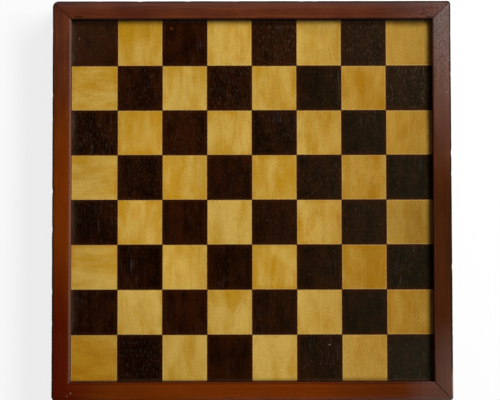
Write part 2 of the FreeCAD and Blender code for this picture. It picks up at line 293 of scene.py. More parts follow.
class BoardGraph(Graph):
    """A finish's nodes, with the point's own place on the board at hand, in millimetres."""

    def __init__(self, tree):
        super().__init__(tree)
        self.place = self.scaled(self.add("ShaderNodeTexCoord", output="Object"), TO_MM)
        self.x, self.y, self.z = self.split(self.place)

    def spot(self, at, size):
        """1 at a place on the board, fading to 0 over an ellipse of that half size."""
        return self.oval(self.x, self.y, at, size)

    def grain(self, point, stretch, scale, detail=2.0, distortion=0.0, shift=0.0):
        """Noise drawn out along the grain. A point is its place across and along the grain and
        its seed, and shift keeps one layer apart from the next."""
        across, along, seed = point
        drawn_out = self.joined(across * stretch[0], along * stretch[1], seed + shift)
        return self.noise(drawn_out, scale, detail, distortion)

    def square(self):
        """The square under a point: its column and row as a vector of whole numbers, and how far
        the point is inside the square's nearest edge."""
        side = (SQUARE,) * 3
        counted = self.vector("DIVIDE", self.vector("ADD", self.place, (GRID_EDGE,) * 3), side)
        cell = self.vector("MAXIMUM", self.vector("FLOOR", counted), (0, 0, 0))
        cell = self.vector("MINIMUM", cell, (SQUARES - 1,) * 3)
        middle = self.vector("ADD", cell, (0.5, 0.5, 0.5))
        local = self.vector("MULTIPLY", self.vector("SUBTRACT", counted, middle), side)
        widened = FIELD_EDGE - GRID_EDGE
        distances = [
            SQUARE / 2 - abs(inside) + (abs(whole) > GRID_EDGE - SQUARE / 2) * widened
            for whole, inside in zip((self.x, self.y), self.split(local)[:2])
        ]
        return cell, distances[0].least(distances[1])

    def draws(self, cell):
        """Three random shares, each the same all over a square."""
        settings = {"noise_dimensions": "3D"}
        return self.split(self.add("ShaderNodeTexWhiteNoise", settings, {"Vector": cell}, "Color"))

    def marked(self, wood, marks, shown=1.0):
        """A wood with small marks on it, as far as they are shown."""
        for at, size, strength, tint in marks:
            wood = self.mix(self.spot(at, size) * strength * shown, wood, paint(*tint))
        return wood

    def surface(self, colour, roughness, height, settings=None):
        """The shader of a finish: height is in millimetres."""
        bump = self.add("ShaderNodeBump", None, {"Height": height, "Distance": 1 / TO_MM})
        links = {"Base Color": colour, "Roughness": roughness, "Normal": bump, **(settings or {})}
        shader = self.add("ShaderNodeBsdfPrincipled", None, links)
        self.add("ShaderNodeOutputMaterial", None, {"Surface": shader})


def new_material(name, graph=BoardGraph):
    material = bpy.data.materials.new(name)
    material.use_nodes = True
    return material, graph(material.node_tree)


def coat_nodes(material, names):
    """Gives CAD nodes a finish."""
    for name in names:
        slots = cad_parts[name].material_slots
        if not slots:
            raise RuntimeError(f"{name} has no material slot")
        for material_slot in slots:
            material_slot.material = material


def colour(name, meaning, red, green, blue):
    return FloatVectorProperty(
        name=name, description=meaning, subtype="COLOR", size=3, min=0.0, max=1.0,
        default=paint(red, green, blue),
    )


def share(name, meaning, value, most=1.0):
    return FloatProperty(
        name=name, description=meaning, subtype="FACTOR", min=0.0, max=most, default=value,
    )


def length(name, meaning, value):
    return FloatProperty(
        name=name, description=meaning, subtype="DISTANCE", unit="LENGTH", min=0.0, default=value,
    )


def angle(name, meaning, degrees):
    return FloatProperty(
        name=name, description=meaning, subtype="ANGLE", unit="ROTATION",
        default=math.radians(degrees),
    )


class LightWoodFinish(bpy.types.PropertyGroup):
    pale: colour("Pale", "Boxwood where the polish is thin", 202, 165, 78)
    amber: colour("Amber", "Boxwood under thick, yellowed polish", 180, 131, 22)
    blush: colour("Blush", "Orange clouds in the wood", 184, 122, 32)
    worn_edge: colour("Worn edge", "Rubbed wood along a square's edges", 214, 184, 124)
    joint: colour("Joint", "Dark line where squares meet", 84, 40, 10)
    # Colour of the darkening along the front and back rails
    wax: colour("Wax", "Brown wax along the front and back rails", 70, 36, 8)
    corner_tint: colour("Corner tint", "Deeper polish at the reader's left", 226, 202, 110)
    right_tint: colour("Right tint", "Duller polish at the right", 222, 210, 184)
    # Painted shade: darkens and reddens the light squares at the foot of the right rail, in its
    # shadow
    right_rail_shade_tint: colour("Edge tint", "Redder polish along the right rail", 250, 170, 80)
    roughness: share("Roughness", "Roughness of the polish", 0.38)
    gloss: share("Gloss", "Strength of what the polish reflects", 0.3)
    fibre_depth: length("Fibre depth", "Relief of the fibres", 0.00002)


class DarkWoodFinish(bpy.types.PropertyGroup):
    black: colour("Black", "Rosewood's dark heart", 20, 6, 1)
    brown: colour("Brown", "Rosewood's lighter streaks", 46, 18, 3)
    # Painted sheen: the grey-olive veil that the polish would reflect towards the right
    right_sheen: colour("Olive", "Dulled wax towards the right", 30, 31, 20)
    pore_fill: colour("Pore fill", "Old polish and dust in the pores", 94, 82, 64)
    glint: colour("Glint", "Grey gleam along single fibres", 88, 84, 84)
    rubbed_edge: colour("Rubbed edge", "Redder wood along a square's edges", 62, 26, 4)
    joint: colour("Joint", "Dark line where squares meet", 10, 4, 2)
    # Dust, and along the left rail painted reflection of the lit rail wall
    dust: colour("Dust", "Dusty brown wax along the rails", 70, 54, 43)
    roughness: share("Roughness", "Roughness of the polish", 0.28)
    gloss: share("Gloss", "Strength of what the polish reflects", 0.25)
    pore_depth: length("Pore depth", "Depth of the open pores", 0.00003)


class RailFinish(bpy.types.PropertyGroup):
    red: colour("Red", "Mahogany's deep red", 74, 24, 3)
    brown: colour("Brown", "Mahogany's brown", 98, 44, 12)
    orange: colour("Orange", "Mahogany where light has bleached it", 122, 50, 0)
    umber: colour("Umber", "Browner mahogany of the right rail", 86, 50, 21)
    crimson: colour("Crimson", "Mahogany under thick polish at the reader's left", 82, 13, 0)
    # Grime also serves as painted shade on the rails' outer arrises
    grime_and_shade: colour("Grime", "Dark wax in joints, dents and pores", 20, 10, 6)
    # Bloom also serves as painted sheen, where the polish would reflect the lamp
    bloom: colour("Bloom", "Milky, crazed old polish", 152, 148, 148)
    # Painted highlight: lightens the right rail's inner arris, which faces away from the lamp
    rubbed: colour("Rubbed", "Warmer wood where the right rail's inner edge is worn", 138, 62, 32)
    # Painted highlight: greyish colour on the left rail's inner arris
    left_edge_highlight: colour("Dull line", "Dulled polish along the left rail's inner edge", 78, 65, 54)
    inner_line: colour("Inner line", "Thick red polish along the front rail's inner edge", 56, 17, 2)
    roughness: share("Roughness", "Roughness of the polish", 0.26)
    gloss: share("Gloss", "Strength of what the polish reflects", 0.3)
    pore_depth: length("Pore depth", "Depth of the pores", 0.00003)


class RailWear(bpy.types.PropertyGroup):
    step: length("Step", "Length between cuts along a rail", 0.0025)
    corner_step: length("Corner step", "Length between cuts at the corners", 0.003)
    wave: length("Wave", "Length of the waves that wear leaves along an arris", 0.02)
    reach: length("Reach", "How far wear reaches from an arris", 0.0045)
    depth: length("Depth", "Deepest wear of an arris", 0.0009)
    side_depth: length("Side depth", "Deepest wear of the outline", 0.0002)
    dent: length("Dent", "Depth of the deepest dent", 0.0008)
    mitre_gap: length("Mitre gap", "Opening of the mitre at the front right", 0.0003)


class UndersideFinish(bpy.types.PropertyGroup):
    pine: colour("Pine", "Bare pine between its rings", 176, 134, 84)
    ring: colour("Ring", "Pine's darker rings", 136, 88, 44)
    soot: colour("Soot", "Dust and handling on bare wood", 74, 56, 40)
    tongue_wood: colour("Tongue wood", "Pale beech of the mitre tongues", 166, 124, 82)
    steel: colour("Steel", "Dulled steel of the screws", 112, 106, 98)
    rust: colour("Rust", "Brown bloom on the screws", 92, 52, 30)
    pine_roughness: share("Pine roughness", "Roughness of bare pine", 0.75)
    tongue_roughness: share("Tongue roughness", "Roughness of bare beech", 0.7)
    steel_roughness: share("Steel roughness", "Roughness of the screws where they are clean", 0.42)


class StageSettings(bpy.types.PropertyGroup):
    camera_height: length("Camera height", "Height of the lens above the underside", 0.921)
    camera_left: length("Camera left", "How far the lens is left of the middle", 0.0030)
    camera_forward: length("Camera forward", "How far the lens is towards the reader", 0.0216)
    camera_pitch: angle("Camera pitch", "Lean of the view from straight down to the back", 1.359)
    camera_roll: angle("Camera roll", "Lean of the view about the Y axis", -0.045)
    camera_turn: angle("Camera turn", "Turn of the picture about the Z axis", -0.103)
    focal_length: FloatProperty(
        name="Focal length", description="Lens of the camera", unit="CAMERA", default=57.2,
    )
    floor_colour: colour("Floor", "Plain pale floor", 240, 240, 240)
    floor_white: share("Floor white", "Share of plain white in the floor that the camera sees", 0.82)
    floor_width: length("Floor width", "Side of the floor", 40.0)
    floor_drop: length("Floor drop", "How far the floor is below the board", 0.0002)
    lamp_level: share("Lamp level", "Light of the lamp on flat tops, as a share of white", 0.99, 2.0)
    gleam_level: share("Gleam level", "What gloss shows of the lamp", 0.08)
    lamp_distance: length("Lamp distance", "From the middle of the field to the lamp", 3.0)
    lamp_width: length("Lamp width", "Level size of the lamp", 2.67)
    lamp_height: length("Lamp height", "Upright size of the lamp", 0.5)
    lamp_turn: angle("Lamp turn", "How far the lamp is turned from the right towards the back", 35)
    lamp_rise: angle("Lamp rise", "How high the lamp stands above the field", 24)
    fill_level: share("Fill level", "Light from all round", 0.1)


FINISHES = {
    "board_light_wood": LightWoodFinish,
    "board_dark_wood": DarkWoodFinish,
    "board_rail_wear": RailWear,
    "board_rails": RailFinish,
    "board_underside": UndersideFinish,
    "board_stage": StageSettings,
}


class WearRails(bpy.types.Operator):
    """The four rails with rubbed and dented arrises and a mitre that has opened"""

    bl_idname = "chess_board.wear_rails"
    bl_label = "Wear Rails"

    def execute(self, context):
        wear = context.scene.board_rail_wear
        draw = random.Random(WEAR_SEED)
        clouds = bpy.data.textures.new("arris_wear", "CLOUDS")
        clouds.noise_scale = wear.wave
        for side in SIDES:
            self.wear_rail(wear, side, clouds, draw)
        return {"FINISHED"}

    def wear_rail(self, wear, side, clouds, draw):
        piece = self.copy_rail(side)
        lengthwise = Vector((1, 0, 0) if side in ("front", "back") else (0, 1, 0))
        across = Vector((lengthwise.y, lengthwise.x, 0))
        outer = FRAME_HALF if side in ("right", "back") else -FRAME_HALF
        inner = OPENING_HALF if outer > 0 else -OPENING_HALF
        for number in range(CORNER_CUTS):
            for end in (-1, 1):
                self.slice(lengthwise, end * (FIRST_CORNER_CUT + number * wear.corner_step))
        for line in LENGTHWISE_CUTS:
            self.slice(across, outer + (inner - outer) * line)
        self.divide_long_edges(piece, lengthwise, wear.step)
        self.rub_arrises(piece, wear, clouds)
        self.rub_outside(piece, wear, clouds, side)
        for _ in range(DENTS):
            along = draw.uniform(-DENTS_REACH, DENTS_REACH) * OPENING_HALF
            spot = lengthwise * along + across * outer + Vector((0, 0, RAIL_TOP))
            inwards = across * (inner - outer)
            self.press_dent(piece, spot, inwards, draw.uniform(0.2, 1.0) * wear.dent)
        if side == "front":
            self.open_mitre(piece, wear)
        bpy.ops.object.shade_smooth_by_angle(angle=SMOOTH_ANGLE)
        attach(piece, "root")
        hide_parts(f"rail_{side}")

    def copy_rail(self, side):
        """A copy of the sharp rail with its loose triangles joined, left in edit mode."""
        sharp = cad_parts[f"rail_{side}"]
        piece = bpy.data.objects.new(f"worn_rail_{side}", sharp.data.copy())
        bpy.context.scene.collection.objects.link(piece)
        bpy.ops.object.select_all(action="DESELECT")
        piece.select_set(True)
        bpy.context.view_layer.objects.active = piece
        bpy.ops.object.mode_set(mode="EDIT")
        bpy.ops.mesh.select_all(action="SELECT")
        bpy.ops.mesh.remove_doubles(threshold=MERGED)
        bpy.ops.mesh.dissolve_limited(angle_limit=FLAT_ANGLE)
        return piece

    def slice(self, direction, distance):
        bpy.ops.mesh.select_all(action="SELECT")
        bpy.ops.mesh.bisect(plane_co=direction * distance, plane_no=direction)

    def divide_long_edges(self, piece, lengthwise, step):
        """Cuts the straight middle of the rail into short, equal lengths."""
        bpy.ops.mesh.select_mode(type="EDGE")
        bpy.ops.mesh.select_all(action="DESELECT")
        bpy.ops.object.mode_set(mode="OBJECT")
        points = piece.data.vertices
        for edge in piece.data.edges:
            run = points[edge.vertices[0]].co - points[edge.vertices[1]].co
            edge.select = abs(run.dot(lengthwise)) > LONG_EDGE
        bpy.ops.object.mode_set(mode="EDIT")
        bpy.ops.mesh.subdivide(number_cuts=round(2 * OPENING_HALF / step))
        bpy.ops.object.mode_set(mode="OBJECT")

    def rub_arrises(self, piece, wear, clouds):
        """Wears the top edges down, unevenly, and the flat between them hardly at all."""
        group = piece.vertex_groups.new(name="down")
        for point in piece.data.vertices:
            inwards = FRAME_HALF - max(abs(point.co.x), abs(point.co.y))
            edge = min(inwards, FRAME_HALF - OPENING_HALF - inwards)
            height = max(0.0, 1 - (RAIL_TOP - point.co.z) / wear.reach)
            group.add([point.index], height * max(FLAT_WEAR, 1 - edge / wear.reach), "REPLACE")
        self.displace(piece, group, clouds, "Z", -wear.depth)

    def rub_outside(self, piece, wear, clouds, side):
        """Wears the outer edge inwards, twice as far down the wall, but not at the mitres."""
        group = piece.vertex_groups.new(name="inwards")
        for point in piece.data.vertices:
            x, y = abs(point.co.x), abs(point.co.y)
            edge = max(0.0, 1 - (FRAME_HALF - max(x, y)) / wear.reach)
            height = max(0.0, 1 - (RAIL_TOP - point.co.z) / (2 * wear.reach))
            from_mitre = min(1.0, abs(x - y) / (4 * wear.reach))
            group.add([point.index], height * edge * from_mitre, "REPLACE")
        axis = "Y" if side in ("front", "back") else "X"
        sign = -1 if side in ("right", "back") else 1
        self.displace(piece, group, clouds, axis, sign * wear.side_depth)

    def displace(self, piece, group, clouds, axis, strength):
        rub = piece.modifiers.new("rub", "DISPLACE")
        rub.texture = clouds
        rub.texture_coords = "LOCAL"
        rub.direction = axis
        rub.vertex_group = group.name
        rub.mid_level = 0.0
        rub.strength = strength
        bpy.ops.object.modifier_apply(modifier=rub.name)

    def press_dent(self, piece, spot, inwards, depth):
        """Pushes the nearest point down and in, and its neighbours with it; deep dents are wide."""
        bpy.ops.object.mode_set(mode="EDIT")
        bpy.ops.mesh.select_mode(type="VERT")
        bpy.ops.mesh.select_all(action="DESELECT")
        bpy.ops.object.mode_set(mode="OBJECT")
        nearest = min(piece.data.vertices, key=lambda point: (point.co - spot).length)
        nearest.select = True
        bpy.ops.object.mode_set(mode="EDIT")
        push = (inwards.normalized() - Vector((0, 0, 1))).normalized() * depth
        bpy.ops.transform.translate(
            value=push, use_proportional_edit=True, proportional_edit_falloff="SMOOTH",
            proportional_size=DENT_RADIUS + depth * 4,
        )
        bpy.ops.object.mode_set(mode="OBJECT")

    def open_mitre(self, piece, wear):
        """Draws the front rail's right end back from its neighbour."""
        for point in piece.data.vertices:
            point.select = abs(point.co.x + point.co.y) < ON_MITRE and point.co.x > 0
        bpy.ops.object.mode_set(mode="EDIT")
        bpy.ops.transform.translate(value=(-wear.mitre_gap, 0, 0))
        bpy.ops.object.mode_set(mode="OBJECT")


class FinishLightSquares(bpy.types.Operator):
    """Polished boxwood on the light squares, each cut from its own piece"""

    bl_idname = "chess_board.finish_light_squares"
    bl_label = "Finish Light Squares"

    def execute(self, context):
        finish = context.scene.board_light_wood
        material, g = new_material("polished_boxwood")
        cell, rim = g.square()
        tone, _, shift = g.draws(cell)
        point = self.grain_point(g, cell, shift * SQUARE_SEEDS)
        fibres = g.grain(point, (1.0, 0.03), scale=1.5)
        bands = g.grain(point, (1.0, 0.09), scale=0.24, distortion=0.3, shift=40.0)
        cloud = g.grain(point, (1.0, 0.4), scale=0.06, detail=3.0, distortion=0.2, shift=80.0)
        flecks = g.ramp(g.grain(point, (1.6, 0.2), scale=0.8, detail=0.0, shift=160.0), 0.3, 0.6)
        speckle = g.grain(point, (1.0, 0.7), scale=0.9, shift=200.0)
        stained = g.ramp(rim, 7.0, 1.0) * g.ramp(g.noise(g.place, 0.025, 1.0), -0.05, 0.3)

        depth = cloud * 1.4 + bands * 0.5 + (tone - 0.5) * 0.6 + stained * 0.4
        brightness = 1.0 + fibres * 0.16 + bands * 0.08 + speckle * 0.3 - flecks * 0.1
        for at, size, deeper, brighter in LIGHT_TONES:
            spot = g.spot(at, size)
            depth = depth + spot * deeper
            brightness = brightness + spot * brighter
        wood = g.mix(g.ramp(depth, -0.7, 0.9), finish.pale, finish.amber)
        wood = self.blushed(g, finish, wood, point, stained)
        wood = self.tinted_and_shaded(g, finish, wood, brightness)
        wood = self.worn(g, finish, wood, rim)
        wood = self.darkened(g, finish, wood)

        roughness = finish.roughness + fibres * 0.05 + cloud * 0.06 + g.ramp(rim, 1.0, 0.3) * 0.35
        height = fibres * (finish.fibre_depth * TO_MM) + g.noise(g.place, 0.12, 1.0) * 0.02
        g.surface(wood, roughness, height, {"Specular IOR Level": finish.gloss})
        coat_nodes(material, [f"light_squares_row_{row}" for row in range(1, SQUARES + 1)])
        return {"FINISHED"}

    def grain_point(self, g, cell, seed):
        """Across and along the grain, which lies across the board in the left column only."""
        column, _, _ = g.split(cell)
        turned = column < 0.5
        across = g.x + (g.y - g.x) * turned
        along = g.y + (g.x - g.y) * turned
        return across, along, seed

    def blushed(self, g, finish, wood, point, stained):
        """Orange clouds, fainter at the right."""
        patch = g.grain(point, (1.0, 0.4), scale=0.1, detail=3.0, shift=120.0)
        strength = 0.5 - g.ramp(g.x, 60.0, 200.0) * 0.2
        return g.mix(g.ramp(patch + stained * 0.2, 0.12, 0.6) * strength, wood, finish.blush)

    def tinted_and_shaded(self, g, finish, wood, brightness):
        """Darker and more orange at the front left, darker and duller towards the right and near the
        right rail, and painted reddish shade at the foot of the right rail, in its shadow.
        """
        from_right = FIELD_EDGE - g.x
        wood = g.mix(g.spot((-195, -195), (75, 75)), wood, finish.corner_tint, "MULTIPLY")
        wood = g.mix(g.ramp(g.x, 40.0, 140.0), wood, finish.right_tint, "MULTIPLY")
        # Painted reddish shade within the right rail's shadow
        wood = g.mix(g.ramp(from_right, 4.5, 0.3), wood, finish.right_rail_shade_tint, "MULTIPLY")
        return g.scaled(wood, brightness - g.ramp(from_right, 50.0, 10.0) * 0.16)

    def worn(self, g, finish, wood, rim):
        """A scratch, and rubbed edges round the dark joints."""
        right, back = g.x - SCRATCH_AT[0], g.y - SCRATCH_AT[1]
        along = right * math.cos(SCRATCH_SLANT) - back * math.sin(SCRATCH_SLANT)
        across = right * math.sin(SCRATCH_SLANT) + back * math.cos(SCRATCH_SLANT)
        scratch = g.oval(along, across, (0, 0), SCRATCH_SIZE)
        wood = g.mix(scratch * 0.3, wood, finish.worn_edge)
        wood = g.mix(g.ramp(rim, 1.8, 0.6) * 0.3, wood, finish.worn_edge)
        return g.mix(g.ramp(rim, 0.8, 0.4) * 0.7, wood, finish.joint)

    def darkened(self, g, finish, wood):
        """Brown darkening along the front rail, wider towards the right, and a little along the back
        rail.
        """
        from_front, from_back = g.y + FIELD_EDGE, FIELD_EDGE - g.y
        width = g.ramp(g.x, -150.0, 150.0) * 3.5 + 3.0
        front = g.ramp(from_front, width, 0.0) * 0.6 + g.ramp(from_front, 1.8, 0.4) * 0.3
        return g.mix(front + g.ramp(from_back, 14.0, 2.0) * 0.12, wood, finish.wax)


class FinishDarkSquares(bpy.types.Operator):
    """Polished rosewood with open pores on the dark squares"""

    bl_idname = "chess_board.finish_dark_squares"
    bl_label = "Finish Dark Squares"

    def execute(self, context):
        finish = context.scene.board_dark_wood
        material, g = new_material("polished_rosewood")
        cell, rim = g.square()
        tone, openness, shift = g.draws(cell)
        point = (g.x, g.y, shift * SQUARE_SEEDS)
        right, back = g.ramp(g.x, -60.0, 200.0), g.ramp(g.y, 20.0, 190.0)
        streaks = g.grain(point, (1.0, 0.05), scale=0.6, detail=3.0, distortion=0.2)
        pores = g.grain(point, (1.1, 0.28), scale=0.7, detail=1.0, shift=80.0)
        open_pores = g.ramp(pores + (openness - 0.5) * 0.25 + right * back * 0.12, 0.15, 0.6)
        speckle = g.grain(point, (1.0, 0.6), scale=0.8, shift=160.0)

        brown = streaks * 0.6 + (tone - 0.5) * 0.5 + back * 0.2
        wood = self.rosewood(g, finish, point, brown)
        # Painted sheen towards the right
        wood = g.mix(right * 0.5, wood, finish.right_sheen)
        # Pore fill, and painted glints in the pores towards the back right
        wood = g.mix(open_pores * (0.15 + right * back * 0.24), wood, finish.pore_fill)
        wood = g.mix(self.glints(g, point) * 0.25, wood, finish.glint)
        wood = g.scaled(wood, 1.03 + speckle)
        wood = g.mix(g.ramp(rim, 5.0, 1.0) * 0.3, wood, finish.rubbed_edge)
        wood = g.mix(g.ramp(rim, 0.3, 0.1) * 0.8, wood, finish.joint)
        wood = self.dusted(g, finish, wood, back)
        wood = g.marked(wood, SPECKS)

        roughness = finish.roughness + streaks * 0.05 + open_pores * 0.1 + g.ramp(rim, 1.0, 0.3) * 0.4
        height = g.noise(g.place, 0.12, 1.0) * 0.02 - open_pores * (finish.pore_depth * TO_MM)
        g.surface(wood, roughness, height, {"Specular IOR Level": finish.gloss})
        coat_nodes(material, [f"dark_squares_row_{row}" for row in range(1, SQUARES + 1)])
        return {"FINISHED"}

    def rosewood(self, g, finish, point, brown):
        """Bands and clouds from black to brown, on top of how brown the square is already."""
        bands = g.grain(point, (1.0, 0.1), scale=0.1, detail=1.0, distortion=0.5, shift=40.0)
        cloud = g.grain(point, (1.0, 0.6), scale=0.08, detail=3.0, shift=120.0)
        brown = brown + bands * 0.6 + cloud * 1.1
        for at, size, browner in DARK_TONES:
            brown = brown + g.spot(at, size) * browner
        return g.mix(g.ramp(brown, -0.7, 0.9), finish.black, finish.brown)

    def glints(self, g, point):
        """Single fibres that gleam, in some regions of the board."""
        fibres = g.ramp(g.grain(point, (1.4, 0.08), scale=0.6, detail=1.0, shift=210.0), 0.2, 0.55)
        regions = g.grain((g.x, g.y, 250.0), (1.0, 0.5), scale=0.03, detail=1.0)
        return fibres * g.ramp(regions, 0.0, 0.35)

    def dusted(self, g, finish, wood, back):
        """Dust along the rails, which along the left rail is also painted reflection of the lit rail
        wall, haze in two corners, and near-black along the foot of the front rail.
        """
        settled = g.grain((g.x, g.y, 0.0), (1.0, 0.4), scale=0.16, detail=3.0)
        from_left = g.x + FIELD_EDGE + settled * 5.0
        from_end = FIELD_EDGE - abs(g.y) + settled * 2.0
        # Along the left rail: dust and painted reflection of the lit wall
        side_dust_and_reflection = g.ramp(from_left, 10.0, 0.0) * 0.24 + g.ramp(from_left, 4.0, 0.0) * 0.5
        end_dust = g.ramp(from_end, 4.0, 0.0) * (0.35 + back * 0.55)
        right_dust = g.ramp(FIELD_EDGE - g.x, 5.0, 1.5) * g.ramp(g.y, -130.0, -175.0)
        wood = g.mix(side_dust_and_reflection.most(end_dust), wood, finish.dust)
        wood = g.mix(right_dust * 0.4, wood, finish.dust)
        haze = g.spot((190, -185), (60, 50)).most(g.spot((-195, 190), (60, 50)))
        wood = g.mix(haze * 0.05, wood, finish.pore_fill)
        return g.mix(g.ramp(g.y + FIELD_EDGE, 1.6, 0.6) * 0.5, wood, finish.black)


class FinishRails(bpy.types.Operator):
    """French polished mahogany on the four rails, grain along each"""

    bl_idname = "chess_board.finish_rails"
    bl_label = "Finish Rails"

    def execute(self, context):
        tones = (self.front_tone, self.right_tone, self.back_tone, self.left_tone)
        for side, tone in zip(SIDES, tones):
            self.finish_rail(context.scene.board_rails, side, tone)
        return {"FINISHED"}

    def finish_rail(self, finish, side, tone):
        material, g = new_material(f"polished_mahogany_{side}")
        seed = RAIL_SEEDS * SIDES.index(side)
        u, v = (g.y, g.x) if side in ("front", "back") else (g.x, g.y)
        inwards = FRAME_EDGE - abs(g.x).most(abs(g.y))
        streaks = g.grain((u, v, g.z + seed), (1.0, 0.03), scale=0.7, detail=3.0, distortion=0.2)
        mottle = g.grain((g.x, g.y, g.z + seed), (1.0, 1.0), scale=0.03, detail=3.0)
        pores = g.grain((u, v, g.z * 1.4 + seed), (1.4, 0.16), scale=0.9, detail=1.0)
        pores = g.ramp(pores, 0.3, 0.55)

        figure = g.grain((u, v, g.z + seed), (1.0, 0.05), scale=0.12, distortion=0.5)
        wood = g.mix(g.ramp(figure + streaks * 0.6 + mottle, -0.8, 0.8), finish.red, finish.brown)
        wood = self.bleached(g, finish, wood)
        wood = g.scaled(wood, 1.0 + streaks * 0.2)
        wood = g.mix(pores * 0.35, wood, finish.grime_and_shade)
        wood, milky, matt = tone(g, finish, wood, inwards)
        # Painted sheen at the front right corner, and crazing at the back right
        milky = milky + g.spot((226, -226), (60, 100)) * 0.08 + self.crazing(g)
        # Milky polish and painted sheen, in the bloom colour, on the rails' upper parts
        wood = g.mix(milky * g.ramp(g.z, 6.0, 20.0), wood, finish.bloom)
        # Painted shade on the outer arris and the top of the outer wall
        darkened = g.ramp(inwards, 3.0, 1.3) * g.ramp(g.z + mottle * 2.5 + streaks, 19.5, 23.5)
        wood = g.mix(darkened * OUTER_ARRIS_SHADE[side], wood, finish.grime_and_shade)
        wood = g.mix(self.mitres(g), wood, finish.grime_and_shade)
        wood = g.marked(wood, RAIL_MARKS_AND_HIGHLIGHT, g.ramp(g.z, 17.0, 22.0))

        roughness = streaks * 0.05 + pores * 0.1 + darkened * 0.4 + matt + finish.roughness
        height = g.noise(g.place, 0.08, 1.0) * 0.03 - pores * (finish.pore_depth * TO_MM)
        g.surface(wood, roughness, height, {"Specular IOR Level": finish.gloss})
        for material_slot in bpy.data.objects[f"worn_rail_{side}"].material_slots:
            material_slot.material = material

    def bleached(self, g, finish, wood):
        """Orange in the middle of the front and left rails, crimson at the front left."""
        warm = g.spot((-10, -215), (240, 120)).most(g.spot((-215, -15), (90, 150)))
        wood = g.mix(warm * 0.7, wood, finish.orange)
        return g.mix(g.spot((-230, -190), (60, 160)) * 0.8, wood, finish.crimson)

    def front_tone(self, g, finish, wood, inwards):
        """Each tone gives the wood, its milkiness, which is partly painted sheen, and how much
        rougher it is.
        """
        wood = g.mix(g.ramp(inwards, 17.6, 19.4) * 0.7, wood, finish.inner_line)
        wood = g.mix(g.spot((170, -215), (110, 60)) * 0.3, wood, finish.grime_and_shade)
        milky = g.ramp(inwards, 8.0, 0.0) * g.ramp(g.x, -120.0, 20.0) * 0.05
        return wood, milky, 0.0

    def right_tone(self, g, finish, wood, inwards):
        wood = g.mix(0.4, wood, finish.umber)
        wood = g.mix(g.spot((215, -70), (60, 190)) * 0.45, wood, finish.grime_and_shade)
        wood = g.mix(g.spot((228, -50), (15, 120)) * 0.35, wood, finish.grime_and_shade)
        wood = g.mix(g.ramp(g.y, 100.0, 220.0) * 0.25, wood, finish.grime_and_shade)
        # Painted highlight on the right rail's inner arris
        wood = g.mix(g.ramp(inwards, 18.6, 20.0) * 0.8, wood, finish.rubbed)
        # Painted sheen along the right rail, strongest towards the back, with milky polish
        milky = g.ramp(g.y, 10.0, 200.0) * 0.18 + g.ramp(g.y, 130.0, 226.0) * 0.07
        return wood, milky, 0.0

    def back_tone(self, g, finish, wood, inwards):
        wood = g.mix(g.spot((190, 215), (110, 60)) * 0.25, wood, finish.grime_and_shade)
        wood = g.mix(g.ramp(inwards, 8.0, 2.5) * 0.2, wood, finish.grime_and_shade)
        # Painted sheen towards the back rail's right end and outer edge
        milky = g.ramp(g.x, 130.0, 270.0) * 0.13 + g.ramp(inwards, 12.0, 1.0) * 0.06 + 0.02
        return wood, milky, 0.0

    def left_tone(self, g, finish, wood, inwards):
        # Painted highlight on the left rail's inner arris, whose polish is also rougher
        wood = g.mix(g.ramp(inwards, 18.1, 19.4) * 0.55, wood, finish.left_edge_highlight)
        milky = g.ramp(g.y, 60.0, 220.0) * 0.03
        return wood, milky, g.ramp(inwards, 17.6, 19.2) * 0.4

    def crazing(self, g):
        """Fine milky cracks at the back right corner, and clearer polish between them."""
        slanted = g.x * 1.8 + g.y * 0.15
        cracks = g.grain((slanted, g.y, g.z), (1.0, 0.6), scale=0.48, detail=1.0, distortion=0.3)
        return (g.ramp(abs(cracks), 0.14, 0.02) * 0.3 - 0.09) * g.spot((226, 190), (52, 85))

    def mitres(self, g):
        """Dark wax in the mitres, least at the front left."""
        line = g.ramp(abs(abs(g.x) - abs(g.y)), 1.1, 0.3)
        return line * (0.7 - g.spot((-215, -215), (40, 40)) * 0.55)


class FinishUnderside(bpy.types.Operator):
    """Bare pine ground and battens, beech tongues and dull steel screws"""

    bl_idname = "chess_board.finish_underside"
    bl_label = "Finish Underside"

    def execute(self, context):
        finish = context.scene.board_underside
        boards = [f"ground_board_{name}" for name in ("left", "middle", "right")]
        self.finish_pine(finish, "bare_pine_ground", boards, False)
        battens = ["cross_batten_front", "cross_batten_back"]
        self.finish_pine(finish, "bare_pine_battens", battens, True)
        self.finish_tongues(finish)
        self.finish_screws(finish)
        return {"FINISHED"}

    def finish_pine(self, finish, name, nodes, lies_across):
        """Wandering rings along the grain, and dust."""
        material, g = new_material(name)
        u, v = (g.y, g.x) if lies_across else (g.x, g.y)
        wander = g.grain((u, v, g.z), (0.2, 0.05), scale=0.1, detail=1.0) * 9.0
        rings = g.grain((u + wander, v, g.z * 2.0), (1.0, 0.02), scale=0.3)
        dust = g.ramp(g.noise(g.place, 0.02, 3.0), -0.2, 0.6)
        wood = g.mix(g.ramp(rings, -0.1, 0.5), finish.pine, finish.ring)
        wood = g.mix(dust * 0.5, wood, finish.soot)
        g.surface(wood, finish.pine_roughness + rings * 0.05, rings * 0.04)
        coat_nodes(material, nodes)

    def finish_tongues(self, finish):
        material, g = new_material("beech_tongues")
        specks = g.noise(g.place, 0.8, 2.0)
        wood = g.scaled(tuple(finish.tongue_wood), 1.0 + specks * 0.3)
        g.surface(wood, finish.tongue_roughness, specks * 0.03)
        coat_nodes(material, [f"mitre_tongue_{corner}" for corner in CORNERS])

    def finish_screws(self, finish):
        """Steel that is matt, and no metal to the eye, where it has rusted."""
        material, g = new_material("dull_steel")
        bloom = g.ramp(g.noise(g.place, 0.5, 3.0), -0.1, 0.4)
        metal = g.mix(bloom * 0.7, finish.steel, finish.rust)
        roughness = finish.steel_roughness + bloom * 0.35
        g.surface(metal, roughness, bloom * 0.02, {"Metallic": 1.0 - bloom * 0.8})
        coat_nodes(material, ["batten_screws", "ground_screws"])


